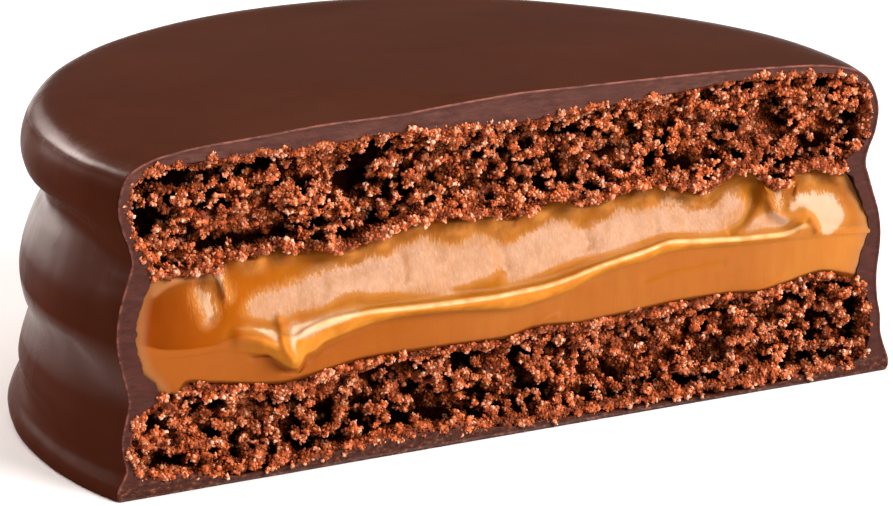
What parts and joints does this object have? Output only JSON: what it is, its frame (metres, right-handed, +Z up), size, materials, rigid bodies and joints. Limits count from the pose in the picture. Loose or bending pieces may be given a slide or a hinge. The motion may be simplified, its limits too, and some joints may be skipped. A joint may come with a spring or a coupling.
{
  "type": "alfajor cookie",
  "caption": "Round sandwich cookie coated in dark chocolate, cut to show two cocoa biscuits with a thick layer of caramel between them.",
  "frame": {"origin": "centre of the whole round cookie, on the flat base it rests on", "axes": "+Z up out of the top of the cookie, +X to the right along the cut when facing it, so the cut faces -Y"},
  "size_m": [0.0644, 0.0414, 0.0246],
  "materials": {
    "chocolate": "satin, slightly cloudy dark chocolate",
    "cocoa_crumb": "open, matte cocoa crumb",
    "caramel": "glossy, slightly translucent caramel"
  },
  "bodies": {
    "root": {"chocolate_coating": "chocolate", "top_biscuit": "cocoa_crumb", "caramel_filling": "caramel", "bottom_biscuit": "cocoa_crumb"}
  },
  "joints": []
}
